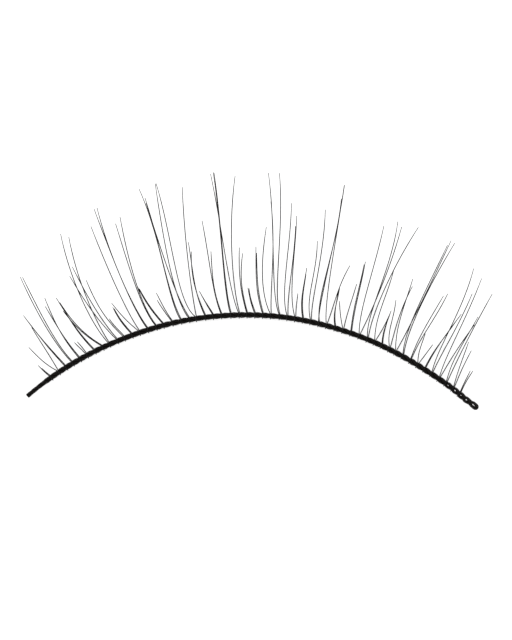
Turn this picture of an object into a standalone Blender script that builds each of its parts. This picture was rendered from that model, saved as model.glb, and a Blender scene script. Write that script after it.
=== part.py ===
"""A false eyelash strip: a twisted thread band in an arch, with folded fibres knotted round it.

The strip lies on the plane z = 0. X runs along the band to the right and Y outwards to the hair tips.
The origin is on the pressed underside of the middle knot.
"""

import math
from collections import namedtuple

import bmesh
import bpy
from mathutils import Vector

MM = 0.001

# The arch of the band, along the middle of its thread
ARCH_RADIUS = 22.84 * MM
BAND_LENGTH = 33.88 * MM
LEFT_OF_APEX = 0.4818

# How far the band strays outward from that arch: pairs of (share along it, share of its length)
STRAYS = (
    (0.0, -0.0009),
    (0.22, -0.0018),
    (0.41, -0.0003),
    (0.55, 0.0003),
    (0.70, -0.0010),
    (0.86, -0.0020),
    (0.97, 0.0008),
    (1.0, 0.0036),
)

# The thread, a round pair of plies that each knot pinches
THREAD_RADIUS_AT_KNOT = 0.175 * MM
THREAD_RADIUS_BETWEEN = 0.21 * MM
PLY_GAP = 0.024 * MM
TAIL_RADIUS = 0.16 * MM
TAIL_STITCH = 0.54 * MM
TAIL_TAPER_LENGTH = 1.1 * MM
TAIL_ROUNDING = 0.45

# The chain at the right end, fuller than the band, with a hole between the plies of its last stitches
CHAIN_LENGTH = 9.0 * MM
CHAIN_RADIUS = 0.235 * MM
CHAIN_CROSSING_RADIUS = 0.205 * MM
CHAIN_HOLES = (0.03 * MM, 0.085 * MM, 0.04 * MM, 0.085 * MM, 0.06 * MM)
END_RADIUS = 0.235 * MM
END_BEND_RINGS = 5

# Past the last knot the plies cross at these shares of the bare end, and stand side by side at the last one
BARE_CROSSINGS = (0.31, 0.69)
LAST_HOLE = 0.83

# The plies stand side by side nearer to one crossing than to the next, and turn slower there
CROSSING_EASE = 1.5
TWIST_DWELL = 0.25
RINGS_PER_STITCH = 4

# A ply's half-moon section, as degrees round the pair from the ply's own side
HALF_MOON_ANGLES = (-78, -30, 30, 78)

# One fibre, and the loop that it makes round the thread
LONGEST_LASH = 9.8 * MM
FIBRE_RADIUS = 0.034 * MM
FIBRE_TIP_SHARE = 0.7
FIBRE_SIDES = 3
LOOP_CLEARANCE = 0.014 * MM
PRESSED_DEPTH = 0.006 * MM
STRAND_SPACING = 0.07 * MM

# How a hair bends in plan: the reach of its root and tip headings
ROOT_BEND_REACH = 1.6 * MM
ROOT_BEND_SHARE = 0.35
TIP_BEND_SHARE = 0.4
STRAND_STEP = 1.15 * MM
FEWEST_STEPS = 4
STEP_EASING = 1.3

# How a hair lies: down to its belly, then curled up to its tip
UPPER_BELLY = 0.125 * MM
LOWER_BELLY = 0.025 * MM
BELLY_REACH = 1.5 * MM
BELLY_SHARE = 0.35
CURL_START = 0.22
CURL_SHARE_UPPER = 0.34
CURL_SHARE_LOWER = 0.24
CURL_EVEN_KNOT = 0.035
CURL_POWER = 1.7

# The loop round the thread, as angles about the band from its outer side, seen along it
LOOP_ANGLES = (50, 80, 110, 140, 170, 200, 225)
PRESSED_ANGLES = (250, 290)
LEAVING_ANGLE = 312

# A hair end's tip lies at (side, out) from the band's outer edge, as shares of LONGEST_LASH.
# It leaves its root and ends at its tip in these headings, in degrees from Y, minus to the left.
Hair = namedtuple("Hair", "side out leave end")

# A knot lies at a share of BAND_LENGTH from the left tip. It holds an upper and a lower hair end.
Knot = namedtuple("Knot", "along upper lower")

KNOTS = (
    Knot(0.062, Hair(-0.08, 0.07, -54, -44), Hair(-0.055, 0.05, -54, -45)),
    Knot(0.081, Hair(-0.20, 0.16, -63, -43), Hair(-0.18, 0.30, -30, -31)),
    Knot(0.099, Hair(-0.25, 0.30, -43, -36), Hair(-0.29, 0.35, -43, -36)),
    Knot(0.115, Hair(-0.357, 0.59, -45, -24), Hair(-0.343, 0.59, -45, -26)),
    Knot(0.132, Hair(-0.238, 0.415, -41, -21), Hair(-0.235, 0.355, -41, -30)),
    Knot(0.148, Hair(-0.08, 0.075, -44, -43), Hair(-0.06, 0.08, -35, -43)),
    Knot(0.166, Hair(-0.238, 0.32, -45, -32), Hair(-0.263, 0.36, -45, -32)),
    Knot(0.184, Hair(-0.27, 0.24, -60, -38), Hair(-0.293, 0.30, -60, -32)),
    Knot(0.199, Hair(-0.333, 0.76, -44, -11), Hair(-0.277, 0.74, -34, -10)),
    Knot(0.217, Hair(-0.328, 0.44, -46, -30), Hair(-0.31, 0.505, -42, -26)),
    Knot(0.232, Hair(-0.26, 0.39, -47, -22), Hair(-0.10, 0.12, -40, -32)),
    Knot(0.249, Hair(-0.13, 0.18, -43, -25), Hair(-0.12, 0.17, -43, -27)),
    Knot(0.265, Hair(-0.19, 0.19, -52, -38), Hair(-0.335, 0.73, -35, -21)),
    Knot(0.283, Hair(-0.37, 0.83, -38, -20), Hair(-0.351, 0.84, -38, -14)),
    Knot(0.301, Hair(-0.28, 0.71, -40, -17), Hair(-0.25, 0.76, -41, -10)),
    Knot(0.316, Hair(-0.18, 0.26, -42, -26), Hair(-0.165, 0.24, -42, -28)),
    Knot(0.335, Hair(-0.105, 0.145, -38, -31), Hair(-0.11, 0.195, -38, -27)),
    Knot(0.353, Hair(-0.29, 0.91, -33, -24), Hair(-0.25, 0.85, -31, -18)),
    Knot(0.370, Hair(-0.235, 0.935, -40, -8), Hair(-0.30, 0.80, -36, -18)),
    Knot(0.384, Hair(-0.277, 0.93, -54, -17), Hair(-0.094, 0.905, -12, -2)),
    Knot(0.403, Hair(-0.117, 0.51, -26, -9), Hair(-0.096, 0.445, -25, 2)),
    Knot(0.419, Hair(-0.095, 0.16, -32, -28), Hair(-0.09, 0.15, -32, -28)),
    Knot(0.436, Hair(-0.135, 0.65, -22, -11), Hair(-0.073, 0.435, -23, -3)),
    Knot(0.455, Hair(-0.123, 0.985, -18, -9), Hair(-0.116, 0.98, -18, -8)),
    Knot(0.472, Hair(-0.20, 0.97, -25, -12), Hair(-0.028, 0.96, -17, 8)),
    Knot(0.488, Hair(-0.054, 0.455, -16, 2), Hair(-0.031, 0.415, -16, 8)),
    Knot(0.504, Hair(-0.05, 0.175, -22, -10), Hair(-0.042, 0.17, -20, -6)),
    Knot(0.520, Hair(-0.049, 0.465, -18, 0), Hair(-0.044, 0.42, -17, -1)),
    Knot(0.536, Hair(-0.032, 0.605, -26, 9), Hair(0.0, 0.785, -4, -7)),
    Knot(0.554, Hair(-0.08, 0.99, -23, -8), Hair(-0.002, 0.99, -20, -5)),
    Knot(0.570, Hair(0.027, 0.785, -18, 1), Hair(0.056, 0.625, -2, 2)),
    Knot(0.586, Hair(0.009, 0.705, -17, 2), Hair(0.017, 0.16, 0, 6)),
    Knot(0.602, Hair(0.025, 0.35, -10, 9), Hair(0.02, 0.305, -10, 9)),
    Knot(0.618, Hair(0.044, 0.55, -13, 0), Hair(0.10, 0.77, 0, 1)),
    Knot(0.635, Hair(0.177, 0.955, 2, 8), Hair(0.155, 0.86, -11, 5)),
    Knot(0.651, Hair(0.12, 0.965, -5, 8), Hair(0.162, 0.405, 21, 30)),
    Knot(0.669, Hair(0.03, 0.265, -10, 9), Hair(0.022, 0.25, -11, 8)),
    Knot(0.686, Hair(-0.029, 0.19, -13, -4), Hair(0.093, 0.31, 12, 16)),
    Knot(0.703, Hair(0.088, 0.465, 6, 11), Hair(0.098, 0.485, 6, 10)),
    Knot(0.721, Hair(0.167, 0.755, -1, 12), Hair(0.293, 0.75, 27, 15)),
    Knot(0.739, Hair(0.207, 0.81, -4, 7), Hair(0.352, 0.77, 8, 33)),
    Knot(0.755, Hair(0.127, 0.485, 1, 15), Hair(0.098, 0.175, 32, 22)),
    Knot(0.771, Hair(0.06, 0.23, 3, 18), Hair(0.052, 0.21, 2, 18)),
    Knot(0.788, Hair(0.04, 0.33, -9, 5), Hair(0.156, 0.425, 15, 28)),
    Knot(0.802, Hair(0.115, 0.50, 0, 17), Hair(0.384, 0.77, 30, 25)),
    Knot(0.819, Hair(0.305, 0.765, 2, 25), Hair(0.357, 0.78, 6, 31)),
    Knot(0.837, Hair(0.224, 0.44, 20, 30), Hair(0.255, 0.455, 21, 26)),
    Knot(0.854, Hair(0.047, 0.205, 0, 18), Hair(0.10, 0.128, 38, 36)),
    Knot(0.871, Hair(0.22, 0.335, 26, 34), Hair(0.25, 0.375, 26, 36)),
    Knot(0.888, Hair(0.284, 0.725, 12, 14), Hair(0.276, 0.55, 24, 22)),
    Knot(0.906, Hair(0.288, 0.69, 16, 20), Hair(0.24, 0.365, 30, 36)),
    Knot(0.923, Hair(0.215, 0.455, 14, 28), Hair(0.315, 0.615, 24, 29)),
    Knot(0.941, Hair(0.10, 0.315, 15, 19), Hair(0.12, 0.255, 22, 28)),
    Knot(0.958, Hair(0.066, 0.15, 22, 25), Hair(0.086, 0.15, 22, 33)),
)
MIDDLE_KNOT = 25

LOOP_RADIUS = THREAD_RADIUS_AT_KNOT + LOOP_CLEARANCE + FIBRE_RADIUS
BAND_HEIGHT = LOOP_RADIUS + FIBRE_RADIUS / 2 - PRESSED_DEPTH
UP = Vector((0, 0, 1))


def mix(start, end, share):
    return start + (end - start) * share


def smooth(share):
    """An even S-shaped step from 0 to 1."""
    share = min(max(share, 0.0), 1.0)
    return share * share * (3 - 2 * share)


def heading(degrees):
    """The level direction at an angle from Y, minus to the left."""
    angle = math.radians(degrees)
    return Vector((math.sin(angle), math.cos(angle), 0))


def arch_angle(along):
    return (along - LEFT_OF_APEX) * BAND_LENGTH / ARCH_RADIUS


def arch_outward(along):
    angle = arch_angle(along)
    return Vector((math.sin(angle), math.cos(angle), 0))


def arch_reach(along):
    """The distance from the arch's centre to the middle of the thread."""
    for (start, start_out), (end, end_out) in zip(STRAYS, STRAYS[1:]):
        if along <= end:
            return ARCH_RADIUS + BAND_LENGTH * mix(start_out, end_out, smooth((along - start) / (end - start)))


def arch_point(along):
    """The middle of the thread at a share of the band's length, with the middle knot over the origin."""
    middle = KNOTS[MIDDLE_KNOT].along
    centred = arch_reach(along) * arch_outward(along) - arch_reach(middle) * arch_outward(middle)
    return centred + BAND_HEIGHT * UP


def skin_rings(mesh, rings):
    """Joins rings of points into a closed tube with flat ends."""
    loops = [[mesh.verts.new(point) for point in ring] for ring in rings]
    sides = len(rings[0])
    for near, far in zip(loops, loops[1:]):
        for side in range(sides):
            following = (side + 1) % sides
            mesh.faces.new((near[side], near[following], far[following], far[side]))
    mesh.faces.new(loops[0])
    mesh.faces.new(loops[-1])
    bmesh.ops.recalc_face_normals(mesh, faces=mesh.faces)


def make_object(name, rings, material, place):
    mesh = bmesh.new()
    skin_rings(mesh, rings)
    data = bpy.data.meshes.new(name)
    mesh.to_mesh(data)
    mesh.free()
    data.shade_smooth()
    data.materials.append(material)
    made = bpy.data.objects.new(name, data)
    made.location = place
    bpy.context.scene.collection.objects.link(made)
    return made


def make_material(name, colour, roughness):
    material = bpy.data.materials.new(name)
    material.use_nodes = True
    shader = material.node_tree.nodes["Principled BSDF"]
    shader.inputs["Base Color"].default_value = (*colour, 1)
    shader.inputs["Roughness"].default_value = roughness
    return material


def twist_marks():
    """Pairs of (share along the band, half-turns of the twist): the plies cross at each knot and stitch."""
    first = KNOTS[0].along
    last = KNOTS[-1].along
    tail_stitches = math.ceil(first * BAND_LENGTH / TAIL_STITCH)
    marks = [(first * step / tail_stitches, step - tail_stitches) for step in range(tail_stitches)]
    marks += [(knot.along, index) for index, knot in enumerate(KNOTS)]
    marks += [(mix(last, 1.0, share), len(KNOTS) + index) for index, share in enumerate(BARE_CROSSINGS)]
    return marks


def thread_stations():
    """Stations (share along the band, half-turns), closer together just after each crossing."""
    marks = twist_marks()
    stations = []
    for (start, turn), (end, _) in zip(marks, marks[1:]):
        for step in range(RINGS_PER_STITCH):
            share = step / RINGS_PER_STITCH
            stations.append((mix(start, end, share**CROSSING_EASE), turn + share))
    start, turn = marks[-1]
    hole = mix(KNOTS[-1].along, 1.0, LAST_HOLE)
    stations.append((start, turn))
    stations.append((mix(start, hole, 0.5), turn + 0.25))
    stations.append((hole, turn + 0.5))
    stations.append((1.0, turn + 0.5))
    return stations


def thread_radius(along, half_turns):
    """The pair's radius: pinched at a crossing, full between two, fullest at the right, tapered to the left."""
    to_end = (1 - along) * BAND_LENGTH
    chain = smooth(1 - to_end / CHAIN_LENGTH)
    pinched = CHAIN_CROSSING_RADIUS if along > KNOTS[-1].along else THREAD_RADIUS_AT_KNOT
    full = mix(THREAD_RADIUS_BETWEEN, CHAIN_RADIUS, chain)
    radius = mix(pinched, full, math.sin(math.pi * half_turns) ** 2)
    tail = smooth((KNOTS[0].along - along) * BAND_LENGTH / TAIL_TAPER_LENGTH)
    radius = mix(radius, TAIL_RADIUS, tail)
    if along == 0:
        radius *= TAIL_ROUNDING
    if along == 1:
        radius = END_RADIUS
    return radius


def half_hole(along, half_turns):
    """Half the distance between the plies: PLY_GAP along the band, and more in the chain's last stitches."""
    stitch = int(half_turns) - len(KNOTS) - len(BARE_CROSSINGS) + len(CHAIN_HOLES)
    if stitch < 0 or along == 1:
        return PLY_GAP / 2
    return mix(PLY_GAP, CHAIN_HOLES[stitch], math.sin(math.pi * half_turns) ** 2) / 2


def twist_angle(half_turns, side):
    angle = math.pi * (half_turns + 0.5) + TWIST_DWELL * math.sin(math.tau * half_turns)
    return angle if side > 0 else angle + math.pi


def half_moon(middle, away, beside, radius, inner):
    """A ply's section at a point: its side towards the other ply, then its round side, no taller than the band."""
    height = min(radius, THREAD_RADIUS_BETWEEN)
    ring = [middle + inner * away]
    for degrees in HALF_MOON_ANGLES:
        turn = math.radians(degrees)
        reach = radius * (math.cos(turn) * away + math.sin(turn) * beside)
        reach.z *= height / radius
        ring.append(middle + reach)
    return ring


def ply_ring(station, side):
    """The ring of one ply at a station. side is 1 for the ply that runs out and -1 for the one that returns."""
    along, half_turns = station
    angle = twist_angle(half_turns, side)
    outward = arch_outward(along)
    away = math.cos(angle) * outward + math.sin(angle) * UP
    beside = side * (math.cos(angle) * UP - math.sin(angle) * outward)
    radius = thread_radius(along, half_turns)
    return half_moon(arch_point(along), away, beside, radius, half_hole(along, half_turns))


def end_bend_rings(half_turns):
    """The thick bend that takes the thread round the right end and back."""
    outward = arch_outward(1.0)
    onward = outward.cross(UP)
    lifted = math.cos(twist_angle(half_turns, 1))
    rings = []
    for step in range(1, END_BEND_RINGS + 1):
        turn = math.pi * step / (END_BEND_RINGS + 1)
        away = lifted * math.cos(turn) * outward + math.sin(turn) * onward
        rings.append(half_moon(arch_point(1.0), away, lifted * UP, END_RADIUS, PLY_GAP / 2))
    return rings


def make_band(material):
    """One thread: out along its first ply, round the end loop and back along the other."""
    stations = thread_stations()
    out = [ply_ring(station, 1) for station in stations]
    back = [ply_ring(station, -1) for station in reversed(stations)]
    rings = out + end_bend_rings(stations[-1][1]) + back
    return make_object("band_thread", rings, material, Vector())


def strand_line(start, hair, along, belly, curl_share):
    """A hair's line from the loop to its tip: a bend in plan, a belly on the floor and a curl up from it."""
    root = arch_point(along) + THREAD_RADIUS_AT_KNOT * arch_outward(along)
    tip = root + LONGEST_LASH * Vector((hair.side, hair.out, 0))
    length = (tip - start).xy.length
    root_reach = min(ROOT_BEND_REACH, ROOT_BEND_SHARE * length)
    bend = start + root_reach * heading(hair.leave)
    lean = tip - TIP_BEND_SHARE * length * heading(hair.end)
    belly_reach = min(BELLY_REACH, BELLY_SHARE * length)
    steps = max(FEWEST_STEPS, round(length / STRAND_STEP))
    line = []
    for step in range(1, steps + 1):
        t = (step / steps) ** STEP_EASING
        point = (
            (1 - t) ** 3 * start
            + 3 * (1 - t) ** 2 * t * bend
            + 3 * (1 - t) * t * t * lean
            + t**3 * tip
        )
        settled = smooth((point - start).xy.length / belly_reach)
        curled = max(0.0, t - CURL_START) / (1 - CURL_START)
        point.z = mix(start.z, belly, settled) + curl_share * length * curled**CURL_POWER
        line.append(point)
    return line


def loop_point(along, angle, shift):
    """A point of the fibre's loop round the thread, shifted along the band."""
    outward = arch_outward(along)
    onward = outward.cross(UP)
    turn = math.radians(angle)
    return (
        arch_point(along)
        + LOOP_RADIUS * (math.cos(turn) * outward + math.sin(turn) * UP)
        + shift * onward
    )


def fibre_line(knot, even):
    """The fibre's line from the upper tip, over and under the thread, to the lower tip.

    Returns it with the number of the point where its pressed stretch starts.
    """
    turns = LOOP_ANGLES + PRESSED_ANGLES + (LEAVING_ANGLE,)
    shifts = [STRAND_SPACING * (place / (len(turns) - 1) - 0.5) for place in range(len(turns))]
    loop = [loop_point(knot.along, angle, shift) for angle, shift in zip(turns, shifts)]
    pressed = len(LOOP_ANGLES)
    lowest = BAND_HEIGHT - LOOP_RADIUS
    loop[pressed].z = lowest
    loop[pressed + 1].z = lowest
    extra = CURL_EVEN_KNOT if even else 0.0
    upper = strand_line(loop[0], knot.upper, knot.along, UPPER_BELLY, CURL_SHARE_UPPER + extra)
    lower = strand_line(loop[-1], knot.lower, knot.along, LOWER_BELLY, CURL_SHARE_LOWER + extra)
    line = upper[::-1] + loop + lower
    return line, len(upper) + pressed


def turned(axis, before, after):
    """A ring's axis carried from one direction of the line to the next without twisting."""
    return before.rotation_difference(after) @ axis


def fibre_rings(line, pressed):
    """Rings along the fibre. At its pressed stretch a flat side faces down."""
    steps = [(after - before).normalized() for before, after in zip(line, line[1:])]
    onwards = [steps[0]]
    onwards += [(before + after).normalized() for before, after in zip(steps, steps[1:])]
    onwards.append(steps[-1])
    axes = {pressed: UP - UP.dot(onwards[pressed]) * onwards[pressed]}
    for place in range(pressed + 1, len(line)):
        axes[place] = turned(axes[place - 1], onwards[place - 1], onwards[place])
    for place in range(pressed - 1, -1, -1):
        axes[place] = turned(axes[place + 1], onwards[place + 1], onwards[place])
    rings = []
    last = len(line) - 1
    for place, point in enumerate(line):
        axis = axes[place].normalized()
        beside = onwards[place].cross(axis)
        radius = FIBRE_RADIUS * (FIBRE_TIP_SHARE if place in (0, last) else 1.0)
        ring = []
        for side in range(FIBRE_SIDES):
            angle = math.tau * side / FIBRE_SIDES
            corner = point + radius * (math.cos(angle) * axis + math.sin(angle) * beside)
            corner.z = max(corner.z, 0.0)
            ring.append(corner)
        rings.append(ring)
    return rings


def make_lash(number, knot, material, band):
    line, pressed = fibre_line(knot, number % 2 == 0)
    place = arch_point(knot.along)
    rings = [[corner - place for corner in ring] for ring in fibre_rings(line, pressed)]
    lash = make_object(f"lash_{number:02d}", rings, material, place)
    lash.parent = band
    return lash


def clear_scene():
    for old in list(bpy.data.objects):
        bpy.data.objects.remove(old, do_unlink=True)


def main():
    clear_scene()
    thread = make_material("waxed_thread", (0.012, 0.009, 0.007), 0.5)
    fibre = make_material("black_fibre", (0.006, 0.006, 0.006), 0.35)
    band = make_band(thread)
    for number, knot in enumerate(KNOTS, start=1):
        make_lash(number, knot, fibre, band)


main()
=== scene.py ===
"""The looks of a false eyelash strip: round folded fibres, a plied thread, their materials, light and camera.

The strip lies on the plane z = 0. X runs along the band to the right and Y outwards to the hair tips.
"""

import math
from collections import namedtuple

import bmesh
import bpy
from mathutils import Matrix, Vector

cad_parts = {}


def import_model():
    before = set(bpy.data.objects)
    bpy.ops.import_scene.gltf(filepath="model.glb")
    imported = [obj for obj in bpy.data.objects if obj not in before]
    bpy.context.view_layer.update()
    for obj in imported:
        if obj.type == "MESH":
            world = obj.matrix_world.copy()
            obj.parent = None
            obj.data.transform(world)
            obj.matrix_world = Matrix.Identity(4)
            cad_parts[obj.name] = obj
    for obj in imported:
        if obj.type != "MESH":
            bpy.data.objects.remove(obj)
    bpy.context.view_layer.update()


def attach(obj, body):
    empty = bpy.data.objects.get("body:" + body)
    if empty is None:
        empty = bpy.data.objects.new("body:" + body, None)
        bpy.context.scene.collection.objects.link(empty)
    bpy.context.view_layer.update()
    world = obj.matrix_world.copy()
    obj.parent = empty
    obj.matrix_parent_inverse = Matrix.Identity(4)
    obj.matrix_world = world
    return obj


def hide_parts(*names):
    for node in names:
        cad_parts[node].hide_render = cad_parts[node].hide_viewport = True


MM = 0.001

# The arch of the band, along the middle of its thread
ARCH_RADIUS = 22.84 * MM
BAND_LENGTH = 33.88 * MM
LEFT_OF_APEX = 0.4818

# How far the band strays outward from that arch: pairs of (share along it, share of its length)
STRAYS = (
    (0.0, -0.0009),
    (0.22, -0.0018),
    (0.41, -0.0003),
    (0.55, 0.0003),
    (0.70, -0.0010),
    (0.86, -0.0020),
    (0.97, 0.0008),
    (1.0, 0.0036),
)

# The thread, a round pair of plies that each knot pinches.
# Their gap is below zero, as the twist presses them into each other.
THREAD_RADIUS_AT_KNOT = 0.175 * MM
THREAD_RADIUS_BETWEEN = 0.21 * MM
PLY_GAP = -0.01 * MM
TAIL_RADIUS = 0.16 * MM
TAIL_STITCH = 0.54 * MM
TAIL_TAPER_LENGTH = 1.1 * MM
TAIL_ROUNDING = 0.45

# The chain at the right end, fuller than the band, with a hole between the plies of its last stitches
CHAIN_LENGTH = 9.0 * MM
CHAIN_RADIUS = 0.235 * MM
CHAIN_CROSSING_RADIUS = 0.205 * MM
CHAIN_HOLES = (0.03 * MM, 0.085 * MM, 0.04 * MM, 0.085 * MM, 0.06 * MM)
END_RADIUS = 0.235 * MM
END_BEND_RINGS = 26

# Shares of the bare end past the last knot: where the plies cross, and where the last hole is
BARE_CROSSINGS = (0.31, 0.69)
LAST_HOLE = 0.83

# The plies stand side by side this part of a half-turn past a crossing.
# They do so nearer to that crossing than to the next, and turn slower there.
SIDE_BY_SIDE_TURN = 0.5
CROSSING_EASE = 1.5
TWIST_DWELL = 0.25
RINGS_PER_STITCH = 14
RINGS_TO_LAST_HOLE = 10

# A ply's section: points on its round side, which ends at this angle, and on its side towards the other ply
ROUND_POINTS = 19
EDGE_ANGLE = 80
FLAT_POINTS = 5

# The yarns of a ply, which show as grooves that spiral round its own middle
YARNS = 3
YARN_TURNS_PER_STITCH = 0.9
GROOVE_DEPTH = 0.1
PLY_MIDDLE = 0.5

# One fibre, and the loop that it makes round the thread
LONGEST_LASH = 9.8 * MM
FIBRE_RADIUS = 0.034 * MM
FIBRE_SIDES = 10
LOOP_CLEARANCE = 0.014 * MM
PRESSED_DEPTH = 0.006 * MM
STRAND_SPACING = 0.07 * MM
TIP_TAPER_START = 0.88
TIP_RADIUS_SHARE = 0.7

# How a hair bends in plan: the reach of its root and tip headings
ROOT_BEND_REACH = 1.6 * MM
ROOT_BEND_SHARE = 0.35
TIP_BEND_SHARE = 0.4
STRAND_STEP = 0.3 * MM
FEWEST_STEPS = 8
STEP_EASING = 1.3

# How a hair lies: down to its belly, then curled up to its tip
UPPER_BELLY = 0.125 * MM
LOWER_BELLY = 0.025 * MM
BELLY_REACH = 1.5 * MM
BELLY_SHARE = 0.35
CURL_START = 0.22
CURL_SHARE_UPPER = 0.34
CURL_SHARE_LOWER = 0.24
CURL_EVEN_KNOT = 0.035
CURL_POWER = 1.7

# The loop round the thread, as angles about the band from its outer side, seen along it
LOOP_START_ANGLE = 50
LOOP_STEP_ANGLE = 10
PRESSED_ANGLES = (250, 290)
LEAVING_ANGLE = 312

# The photo's frame, its scale and where it shows the origin
PHOTO_WIDTH = 512
PHOTO_HEIGHT = 640
PIXELS_PER_METRE = 14500
ORIGIN_PIXEL_X = 247.05
ORIGIN_PIXEL_Y = 314.9

# The camera, straight above
LENS = 800
SENSOR = 36

# The floor and the light, which comes from all round and from a lamp on each side
WHITE = (1, 1, 1, 1)
FLOOR_SIZE = 4.0
FLOOR_COLOUR = (0.9, 0.9, 0.9, 1)
FLOOR_ROUGHNESS = 0.9
FLOOR_GLOW = 0.72
SKY_STRENGTH = 0.36
LAMP_ASIDE = 0.5
LAMP_OUTWARD = 0.25
LAMP_HEIGHT = 0.5
LAMP_SIZE = 0.35
LAMP_POWER = 0.9

# The look of a fibre or thread: fine lines along it, between two colours and two roughnesses
LINE_SCALE = 1.0
RAMP_START = 0.3
RAMP_END = 0.7
Look = namedtuple("Look", "dark light smoothest roughest gloss lines_along lines_round detail bump depth")

FIBRE_LOOK = Look(
    dark=(0.0022, 0.0020, 0.0019),
    light=(0.0060, 0.0052, 0.0048),
    smoothest=0.34,
    roughest=0.5,
    gloss=0.3,
    lines_along=0.8,
    lines_round=14,
    detail=2,
    bump=0.3,
    depth=0.004 * MM,
)

THREAD_LOOK = Look(
    dark=(0.0008, 0.0005, 0.0003),
    light=(0.0130, 0.0096, 0.0074),
    smoothest=0.38,
    roughest=0.62,
    gloss=0.16,
    lines_along=1.5,
    lines_round=36,
    detail=4,
    bump=0.6,
    depth=0.012 * MM,
)

# A hair end's tip lies at (side, out) from the band's outer edge, as shares of LONGEST_LASH.
# It leaves its root and ends at its tip in these headings, in degrees from Y, minus to the left.
Hair = namedtuple("Hair", "side out leave end")

# A knot lies at a share of BAND_LENGTH from the left tip. It holds an upper and a lower hair end.
Knot = namedtuple("Knot", "along upper lower")

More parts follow.
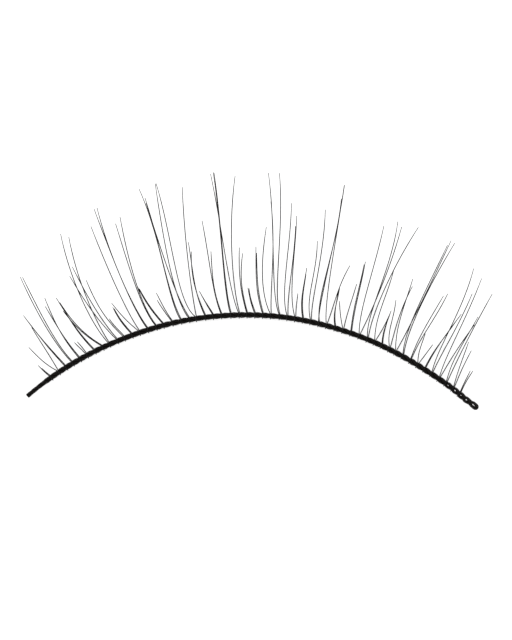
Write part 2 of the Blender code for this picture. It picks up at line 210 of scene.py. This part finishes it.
KNOTS = (
    Knot(0.062, Hair(-0.08, 0.07, -54, -44), Hair(-0.055, 0.05, -54, -45)),
    Knot(0.081, Hair(-0.20, 0.16, -63, -43), Hair(-0.18, 0.30, -30, -31)),
    Knot(0.099, Hair(-0.25, 0.30, -43, -36), Hair(-0.29, 0.35, -43, -36)),
    Knot(0.115, Hair(-0.357, 0.59, -45, -24), Hair(-0.343, 0.59, -45, -26)),
    Knot(0.132, Hair(-0.238, 0.415, -41, -21), Hair(-0.235, 0.355, -41, -30)),
    Knot(0.148, Hair(-0.08, 0.075, -44, -43), Hair(-0.06, 0.08, -35, -43)),
    Knot(0.166, Hair(-0.238, 0.32, -45, -32), Hair(-0.263, 0.36, -45, -32)),
    Knot(0.184, Hair(-0.27, 0.24, -60, -38), Hair(-0.293, 0.30, -60, -32)),
    Knot(0.199, Hair(-0.333, 0.76, -44, -11), Hair(-0.277, 0.74, -34, -10)),
    Knot(0.217, Hair(-0.328, 0.44, -46, -30), Hair(-0.31, 0.505, -42, -26)),
    Knot(0.232, Hair(-0.26, 0.39, -47, -22), Hair(-0.10, 0.12, -40, -32)),
    Knot(0.249, Hair(-0.13, 0.18, -43, -25), Hair(-0.12, 0.17, -43, -27)),
    Knot(0.265, Hair(-0.19, 0.19, -52, -38), Hair(-0.335, 0.73, -35, -21)),
    Knot(0.283, Hair(-0.37, 0.83, -38, -20), Hair(-0.351, 0.84, -38, -14)),
    Knot(0.301, Hair(-0.28, 0.71, -40, -17), Hair(-0.25, 0.76, -41, -10)),
    Knot(0.316, Hair(-0.18, 0.26, -42, -26), Hair(-0.165, 0.24, -42, -28)),
    Knot(0.335, Hair(-0.105, 0.145, -38, -31), Hair(-0.11, 0.195, -38, -27)),
    Knot(0.353, Hair(-0.29, 0.91, -33, -24), Hair(-0.25, 0.85, -31, -18)),
    Knot(0.370, Hair(-0.235, 0.935, -40, -8), Hair(-0.30, 0.80, -36, -18)),
    Knot(0.384, Hair(-0.277, 0.93, -54, -17), Hair(-0.094, 0.905, -12, -2)),
    Knot(0.403, Hair(-0.117, 0.51, -26, -9), Hair(-0.096, 0.445, -25, 2)),
    Knot(0.419, Hair(-0.095, 0.16, -32, -28), Hair(-0.09, 0.15, -32, -28)),
    Knot(0.436, Hair(-0.135, 0.65, -22, -11), Hair(-0.073, 0.435, -23, -3)),
    Knot(0.455, Hair(-0.123, 0.985, -18, -9), Hair(-0.116, 0.98, -18, -8)),
    Knot(0.472, Hair(-0.20, 0.97, -25, -12), Hair(-0.028, 0.96, -17, 8)),
    Knot(0.488, Hair(-0.054, 0.455, -16, 2), Hair(-0.031, 0.415, -16, 8)),
    Knot(0.504, Hair(-0.05, 0.175, -22, -10), Hair(-0.042, 0.17, -20, -6)),
    Knot(0.520, Hair(-0.049, 0.465, -18, 0), Hair(-0.044, 0.42, -17, -1)),
    Knot(0.536, Hair(-0.032, 0.605, -26, 9), Hair(0.0, 0.785, -4, -7)),
    Knot(0.554, Hair(-0.08, 0.99, -23, -8), Hair(-0.002, 0.99, -20, -5)),
    Knot(0.570, Hair(0.027, 0.785, -18, 1), Hair(0.056, 0.625, -2, 2)),
    Knot(0.586, Hair(0.009, 0.705, -17, 2), Hair(0.017, 0.16, 0, 6)),
    Knot(0.602, Hair(0.025, 0.35, -10, 9), Hair(0.02, 0.305, -10, 9)),
    Knot(0.618, Hair(0.044, 0.55, -13, 0), Hair(0.10, 0.77, 0, 1)),
    Knot(0.635, Hair(0.177, 0.955, 2, 8), Hair(0.155, 0.86, -11, 5)),
    Knot(0.651, Hair(0.12, 0.965, -5, 8), Hair(0.162, 0.405, 21, 30)),
    Knot(0.669, Hair(0.03, 0.265, -10, 9), Hair(0.022, 0.25, -11, 8)),
    Knot(0.686, Hair(-0.029, 0.19, -13, -4), Hair(0.093, 0.31, 12, 16)),
    Knot(0.703, Hair(0.088, 0.465, 6, 11), Hair(0.098, 0.485, 6, 10)),
    Knot(0.721, Hair(0.167, 0.755, -1, 12), Hair(0.293, 0.75, 27, 15)),
    Knot(0.739, Hair(0.207, 0.81, -4, 7), Hair(0.352, 0.77, 8, 33)),
    Knot(0.755, Hair(0.127, 0.485, 1, 15), Hair(0.098, 0.175, 32, 22)),
    Knot(0.771, Hair(0.06, 0.23, 3, 18), Hair(0.052, 0.21, 2, 18)),
    Knot(0.788, Hair(0.04, 0.33, -9, 5), Hair(0.156, 0.425, 15, 28)),
    Knot(0.802, Hair(0.115, 0.50, 0, 17), Hair(0.384, 0.77, 30, 25)),
    Knot(0.819, Hair(0.305, 0.765, 2, 25), Hair(0.357, 0.78, 6, 31)),
    Knot(0.837, Hair(0.224, 0.44, 20, 30), Hair(0.255, 0.455, 21, 26)),
    Knot(0.854, Hair(0.047, 0.205, 0, 18), Hair(0.10, 0.128, 38, 36)),
    Knot(0.871, Hair(0.22, 0.335, 26, 34), Hair(0.25, 0.375, 26, 36)),
    Knot(0.888, Hair(0.284, 0.725, 12, 14), Hair(0.276, 0.55, 24, 22)),
    Knot(0.906, Hair(0.288, 0.69, 16, 20), Hair(0.24, 0.365, 30, 36)),
    Knot(0.923, Hair(0.215, 0.455, 14, 28), Hair(0.315, 0.615, 24, 29)),
    Knot(0.941, Hair(0.10, 0.315, 15, 19), Hair(0.12, 0.255, 22, 28)),
    Knot(0.958, Hair(0.066, 0.15, 22, 25), Hair(0.086, 0.15, 22, 33)),
)
MIDDLE_KNOT = 25

LOOP_RADIUS = THREAD_RADIUS_AT_KNOT + LOOP_CLEARANCE + FIBRE_RADIUS
BAND_HEIGHT = LOOP_RADIUS + FIBRE_RADIUS / 2 - PRESSED_DEPTH
UP = Vector((0, 0, 1))


def mix(start, end, share):
    return start + (end - start) * share


def smooth(share):
    """An even S-shaped step from 0 to 1."""
    share = min(max(share, 0.0), 1.0)
    return share * share * (3 - 2 * share)


def heading(degrees):
    """The level direction at an angle from Y, minus to the left."""
    angle = math.radians(degrees)
    return Vector((math.sin(angle), math.cos(angle), 0))


def arch_angle(along):
    return (along - LEFT_OF_APEX) * BAND_LENGTH / ARCH_RADIUS


def arch_outward(along):
    angle = arch_angle(along)
    return Vector((math.sin(angle), math.cos(angle), 0))


def arch_reach(along):
    """The distance from the arch's centre to the middle of the thread."""
    for (start, start_out), (end, end_out) in zip(STRAYS, STRAYS[1:]):
        if along <= end:
            stray = mix(start_out, end_out, smooth((along - start) / (end - start)))
            return ARCH_RADIUS + BAND_LENGTH * stray


def arch_point(along):
    """The middle of the thread at a share of the band's length, with the middle knot over the origin."""
    middle = KNOTS[MIDDLE_KNOT].along
    centred = arch_reach(along) * arch_outward(along) - arch_reach(middle) * arch_outward(middle)
    return centred + BAND_HEIGHT * UP


def make_tube(name, rings, material):
    """A closed smooth tube through rings of points, with a map of (distance along it, share round it)."""
    mesh = bmesh.new()
    loops = [[mesh.verts.new(point) for point in ring] for ring in rings]
    sides = len(rings[0])
    distances = [0.0]
    for before, after in zip(rings, rings[1:]):
        distances.append(distances[-1] + (after[0] - before[0]).length)
    layer = mesh.loops.layers.uv.new("length")
    for place, (near, far) in enumerate(zip(loops, loops[1:])):
        for side in range(sides):
            following = (side + 1) % sides
            face = mesh.faces.new((near[side], near[following], far[following], far[side]))
            marks = ((place, side), (place, side + 1), (place + 1, side + 1), (place + 1, side))
            for corner, (ring, step) in zip(face.loops, marks):
                corner[layer].uv = (distances[ring] / MM, step / sides)
    mesh.faces.new(loops[0])
    mesh.faces.new(loops[-1])
    bmesh.ops.recalc_face_normals(mesh, faces=mesh.faces)
    data = bpy.data.meshes.new(name)
    mesh.to_mesh(data)
    mesh.free()
    data.shade_smooth()
    data.materials.append(material)
    made = bpy.data.objects.new(name, data)
    bpy.context.scene.collection.objects.link(made)
    return made


def twist_marks():
    """Pairs of (share along the band, half-turns of the twist): the plies cross at each knot and stitch."""
    first = KNOTS[0].along
    last = KNOTS[-1].along
    tail_stitches = math.ceil(first * BAND_LENGTH / TAIL_STITCH)
    marks = [(first * step / tail_stitches, step - tail_stitches) for step in range(tail_stitches)]
    marks += [(knot.along, index) for index, knot in enumerate(KNOTS)]
    marks += [(mix(last, 1.0, share), len(KNOTS) + index) for index, share in enumerate(BARE_CROSSINGS)]
    return marks


def thread_stations():
    """Stations (share along the band, half-turns), closer together just after each crossing."""
    marks = twist_marks()
    stations = []
    for (start, turn), (end, _) in zip(marks, marks[1:]):
        for step in range(RINGS_PER_STITCH):
            share = step / RINGS_PER_STITCH
            stations.append((mix(start, end, share**CROSSING_EASE), turn + share))
    start, turn = marks[-1]
    hole = mix(KNOTS[-1].along, 1.0, LAST_HOLE)
    for step in range(RINGS_TO_LAST_HOLE + 1):
        share = step / RINGS_TO_LAST_HOLE
        stations.append((mix(start, hole, share), turn + SIDE_BY_SIDE_TURN * share))
    stations.append((1.0, turn + SIDE_BY_SIDE_TURN))
    return stations


def thread_radius(along, half_turns):
    """The pair's radius: pinched at a crossing, full between two, fullest right and tapered left."""
    to_end = (1 - along) * BAND_LENGTH
    chain = smooth(1 - to_end / CHAIN_LENGTH)
    pinched = CHAIN_CROSSING_RADIUS if along > KNOTS[-1].along else THREAD_RADIUS_AT_KNOT
    full = mix(THREAD_RADIUS_BETWEEN, CHAIN_RADIUS, chain)
    radius = mix(pinched, full, math.sin(math.pi * half_turns) ** 2)
    tail = smooth((KNOTS[0].along - along) * BAND_LENGTH / TAIL_TAPER_LENGTH)
    radius = mix(radius, TAIL_RADIUS, tail)
    if along == 0:
        radius *= TAIL_ROUNDING
    if along == 1:
        radius = END_RADIUS
    return radius


def half_hole(along, half_turns):
    """Half the distance between the plies: PLY_GAP along the band, and more in the chain's last stitches."""
    stitch = int(half_turns) - len(KNOTS) - len(BARE_CROSSINGS) + len(CHAIN_HOLES)
    if stitch < 0 or along == 1:
        return PLY_GAP / 2
    return mix(PLY_GAP, CHAIN_HOLES[stitch], math.sin(math.pi * half_turns) ** 2) / 2


def twist_angle(half_turns, side):
    angle = math.pi * (half_turns + SIDE_BY_SIDE_TURN) + TWIST_DWELL * math.sin(math.tau * half_turns)
    return angle if side > 0 else angle + math.pi


def groove(turn, yarn_turn):
    """The share of a ply's reach at an angle round its own middle, less between two yarns."""
    return 1 - GROOVE_DEPTH * (1 - abs(math.cos(YARNS * (turn - yarn_turn) / 2)))


def yarn_angle(half_turns):
    return math.tau * YARN_TURNS_PER_STITCH * half_turns / YARNS


def half_moon(middle, away, beside, radius, inner, yarn_turn):
    """A ply's section at a point: its round side, then its side towards the other ply."""
    edge = math.radians(EDGE_ANGLE)
    points = []
    for step in range(ROUND_POINTS):
        turn = mix(-edge, edge, step / (ROUND_POINTS - 1))
        own_turn = math.atan2(math.sin(turn), math.cos(turn) - PLY_MIDDLE)
        full = radius * groove(own_turn, yarn_turn)
        points.append((full * math.cos(turn), full * math.sin(turn)))
    for step in range(1, FLAT_POINTS + 1):
        share = mix(1, -1, step / (FLAT_POINTS + 1))
        points.append((mix(inner, radius * math.cos(edge), share**2), radius * math.sin(edge) * share))
    height = min(radius, THREAD_RADIUS_BETWEEN)
    ring = []
    for out, across in points:
        reach = out * away + across * beside
        reach.z *= height / radius
        ring.append(middle + reach)
    return ring


def ply_ring(station, side):
    """The ring of one ply at a station. side is 1 for the ply that runs out, -1 for the one back."""
    along, half_turns = station
    angle = twist_angle(half_turns, side)
    outward = arch_outward(along)
    away = math.cos(angle) * outward + math.sin(angle) * UP
    beside = side * (math.cos(angle) * UP - math.sin(angle) * outward)
    radius = thread_radius(along, half_turns)
    inner = half_hole(along, half_turns)
    return half_moon(arch_point(along), away, beside, radius, inner, -side * yarn_angle(half_turns))


def end_bend_rings(half_turns):
    """The thick bend that takes the thread round the right end and back."""
    outward = arch_outward(1.0)
    onward = outward.cross(UP)
    lifted = math.cos(twist_angle(half_turns, 1))
    rings = []
    for step in range(1, END_BEND_RINGS + 1):
        share = step / (END_BEND_RINGS + 1)
        turn = math.pi * share
        away = lifted * math.cos(turn) * outward + math.sin(turn) * onward
        yarn_turn = yarn_angle(mix(-half_turns, half_turns, share))
        rings.append(half_moon(arch_point(1.0), away, lifted * UP, END_RADIUS, PLY_GAP / 2, yarn_turn))
    return rings


def make_thread(material):
    """One thread: out along its first ply, round the end bend and back along the other."""
    stations = thread_stations()
    out = [ply_ring(station, 1) for station in stations]
    back = [ply_ring(station, -1) for station in reversed(stations)]
    thread = make_tube("plied_thread", out + end_bend_rings(stations[-1][1]) + back, material)
    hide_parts("band_thread")
    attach(thread, "root")


def strand_line(start, hair, along, belly, curl_share):
    """A hair's line from the loop to its tip: a bend in plan, a belly on the floor and a curl up from it."""
    root = arch_point(along) + THREAD_RADIUS_AT_KNOT * arch_outward(along)
    tip = root + LONGEST_LASH * Vector((hair.side, hair.out, 0))
    length = (tip - start).xy.length
    root_reach = min(ROOT_BEND_REACH, ROOT_BEND_SHARE * length)
    bend = start + root_reach * heading(hair.leave)
    lean = tip - TIP_BEND_SHARE * length * heading(hair.end)
    belly_reach = min(BELLY_REACH, BELLY_SHARE * length)
    steps = max(FEWEST_STEPS, round(length / STRAND_STEP))
    line = []
    for step in range(1, steps + 1):
        t = (step / steps) ** STEP_EASING
        point = (
            (1 - t) ** 3 * start
            + 3 * (1 - t) ** 2 * t * bend
            + 3 * (1 - t) * t * t * lean
            + t**3 * tip
        )
        settled = smooth((point - start).xy.length / belly_reach)
        curled = max(0.0, t - CURL_START) / (1 - CURL_START)
        point.z = mix(start.z, belly, settled) + curl_share * length * curled**CURL_POWER
        line.append(point)
    return line


def loop_point(along, angle, shift):
    """A point of the fibre's loop round the thread, shifted along the band."""
    outward = arch_outward(along)
    onward = outward.cross(UP)
    turn = math.radians(angle)
    return (
        arch_point(along)
        + LOOP_RADIUS * (math.cos(turn) * outward + math.sin(turn) * UP)
        + shift * onward
    )


def loop_line(along):
    """The fibre's loop from its upper to its lower hair end."""
    turns = [*range(LOOP_START_ANGLE, PRESSED_ANGLES[0], LOOP_STEP_ANGLE), *PRESSED_ANGLES, LEAVING_ANGLE]
    line = []
    for turn in turns:
        share = (turn - LOOP_START_ANGLE) / (LEAVING_ANGLE - LOOP_START_ANGLE)
        point = loop_point(along, turn, STRAND_SPACING * (share - 0.5))
        if turn in PRESSED_ANGLES:
            point.z = BAND_HEIGHT - LOOP_RADIUS
        line.append(point)
    return line


def fibre_line(knot, even):
    """The fibre's line from the upper tip, over and under the thread, to the lower tip."""
    loop = loop_line(knot.along)
    extra = CURL_EVEN_KNOT if even else 0.0
    upper = strand_line(loop[0], knot.upper, knot.along, UPPER_BELLY, CURL_SHARE_UPPER + extra)
    lower = strand_line(loop[-1], knot.lower, knot.along, LOWER_BELLY, CURL_SHARE_LOWER + extra)
    return upper[::-1] + loop + lower, len(upper), len(upper) + len(loop)


def taper(share_out):
    """The hair's thickness at a share of its length out from the root."""
    return mix(1.0, TIP_RADIUS_SHARE, smooth((share_out - TIP_TAPER_START) / (1 - TIP_TAPER_START)))


def fibre_rings(line, first_root, last_root):
    """Round rings along the fibre, thinner to both tips and pressed flat on the floor."""
    steps = [(after - before).normalized() for before, after in zip(line, line[1:])]
    onwards = [steps[0]]
    onwards += [(before + after).normalized() for before, after in zip(steps, steps[1:])]
    onwards.append(steps[-1])
    axis = UP - UP.dot(onwards[0]) * onwards[0]
    rings = []
    last = len(line) - 1
    for place, point in enumerate(line):
        if place:
            axis = onwards[place - 1].rotation_difference(onwards[place]) @ axis
        axis.normalize()
        beside = onwards[place].cross(axis)
        share_out = max(1 - place / first_root, (place - last_root) / (last - last_root), 0.0)
        radius = FIBRE_RADIUS * taper(share_out)
        ring = []
        for side in range(FIBRE_SIDES):
            angle = math.tau * side / FIBRE_SIDES
            corner = point + radius * (math.cos(angle) * axis + math.sin(angle) * beside)
            corner.z = max(corner.z, 0.0)
            ring.append(corner)
        rings.append(ring)
    return rings


def make_fibre(number, knot, material):
    line, first_root, last_root = fibre_line(knot, number % 2 == 0)
    fibre = make_tube(f"fibre_{number:02d}", fibre_rings(line, first_root, last_root), material)
    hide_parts(f"lash_{number:02d}")
    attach(fibre, "root")


def new_material(name):
    material = bpy.data.materials.new(name)
    material.use_nodes = True
    tree = material.node_tree
    return material, tree, tree.nodes["Principled BSDF"]


def add_ramp(tree, source, dark, light):
    """A ramp from a dark to a light colour, driven by a texture's output."""
    ramp = tree.nodes.new("ShaderNodeValToRGB")
    ramp.color_ramp.elements[0].position = RAMP_START
    ramp.color_ramp.elements[0].color = (*dark, 1)
    ramp.color_ramp.elements[1].position = RAMP_END
    ramp.color_ramp.elements[1].color = (*light, 1)
    tree.links.new(source, ramp.inputs["Fac"])
    return ramp.outputs["Color"]


def add_lines(tree, coordinates, detail):
    """A noise that its stretched map turns into lines."""
    noise = tree.nodes.new("ShaderNodeTexNoise")
    noise.inputs["Scale"].default_value = LINE_SCALE
    noise.inputs["Detail"].default_value = detail
    tree.links.new(coordinates, noise.inputs["Vector"])
    return noise.outputs["Fac"]


def stretched_map(tree, along, around):
    """The tube's own map, stretched so that a texture runs in lines along it."""
    coordinates = tree.nodes.new("ShaderNodeTexCoord")
    mapping = tree.nodes.new("ShaderNodeMapping")
    mapping.inputs["Scale"].default_value = (along, around, 1)
    tree.links.new(coordinates.outputs["UV"], mapping.inputs["Vector"])
    return mapping.outputs["Vector"]


def add_bump(tree, shader, height, strength, distance):
    bump = tree.nodes.new("ShaderNodeBump")
    bump.inputs["Strength"].default_value = strength
    bump.inputs["Distance"].default_value = distance
    tree.links.new(height, bump.inputs["Height"])
    tree.links.new(bump.outputs["Normal"], shader.inputs["Normal"])


def lined_material(name, look):
    """A material with fine lines along the tube, which change its colour, its roughness and its surface."""
    material, tree, shader = new_material(name)
    lines = add_lines(tree, stretched_map(tree, look.lines_along, look.lines_round), look.detail)
    tree.links.new(add_ramp(tree, lines, look.dark, look.light), shader.inputs["Base Color"])
    smoothest = (look.smoothest,) * 3
    roughest = (look.roughest,) * 3
    tree.links.new(add_ramp(tree, lines, smoothest, roughest), shader.inputs["Roughness"])
    add_bump(tree, shader, lines, look.bump, look.depth)
    shader.inputs["Specular IOR Level"].default_value = look.gloss
    return material


def fibre_material():
    """Black drawn fibre: a soft gloss that changes a little along it, with faint drawing lines."""
    return lined_material("black_fibre_look", FIBRE_LOOK)


def thread_material():
    """Black waxed thread with a brown cast: fine fibres along each yarn and a broken sheen."""
    return lined_material("waxed_thread_look", THREAD_LOOK)


def floor_material():
    """A white surface that glows a little, like a light table."""
    material, _, shader = new_material("white_floor")
    shader.inputs["Base Color"].default_value = FLOOR_COLOUR
    shader.inputs["Roughness"].default_value = FLOOR_ROUGHNESS
    shader.inputs["Specular IOR Level"].default_value = 0.0
    shader.inputs["Emission Color"].default_value = WHITE
    shader.inputs["Emission Strength"].default_value = FLOOR_GLOW
    return material


def make_floor():
    half = FLOOR_SIZE / 2
    data = bpy.data.meshes.new("floor")
    corners = [(-half, -half, 0), (half, -half, 0), (half, half, 0), (-half, half, 0)]
    data.from_pydata(corners, [], [(0, 1, 2, 3)])
    data.materials.append(floor_material())
    floor = bpy.data.objects.new("floor", data)
    bpy.context.scene.collection.objects.link(floor)


def make_light():
    """Even white light from all round, with one soft lamp on each side."""
    world = bpy.data.worlds.new("white_surround")
    bpy.context.scene.world = world
    world.use_nodes = True
    sky = world.node_tree.nodes["Background"]
    sky.inputs["Color"].default_value = WHITE
    sky.inputs["Strength"].default_value = SKY_STRENGTH
    for name, side in (("lamp_left", -1), ("lamp_right", 1)):
        data = bpy.data.lights.new(name, "AREA")
        data.size = LAMP_SIZE
        data.energy = LAMP_POWER
        lamp = bpy.data.objects.new(name, data)
        lamp.location = (side * LAMP_ASIDE, LAMP_OUTWARD, LAMP_HEIGHT)
        lamp.rotation_euler = (-lamp.location).to_track_quat("-Z", "Y").to_euler()
        bpy.context.scene.collection.objects.link(lamp)


def make_camera():
    """The photo's view: straight down, with its middle over the same point of the strip."""
    data = bpy.data.cameras.new("camera")
    data.lens = LENS
    data.sensor_width = SENSOR
    camera = bpy.data.objects.new("camera", data)
    height = LENS / SENSOR * PHOTO_HEIGHT / PIXELS_PER_METRE
    camera.location = (
        (PHOTO_WIDTH / 2 - ORIGIN_PIXEL_X) / PIXELS_PER_METRE,
        (ORIGIN_PIXEL_Y - PHOTO_HEIGHT / 2) / PIXELS_PER_METRE,
        BAND_HEIGHT + height,
    )
    bpy.context.scene.collection.objects.link(camera)
    bpy.context.scene.camera = camera


def main():
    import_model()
    bpy.context.scene.view_settings.view_transform = "Standard"
    make_camera()
    make_light()
    make_floor()
    make_thread(thread_material())
    fibre = fibre_material()
    for number, knot in enumerate(KNOTS, start=1):
        make_fibre(number, knot, fibre)


main()
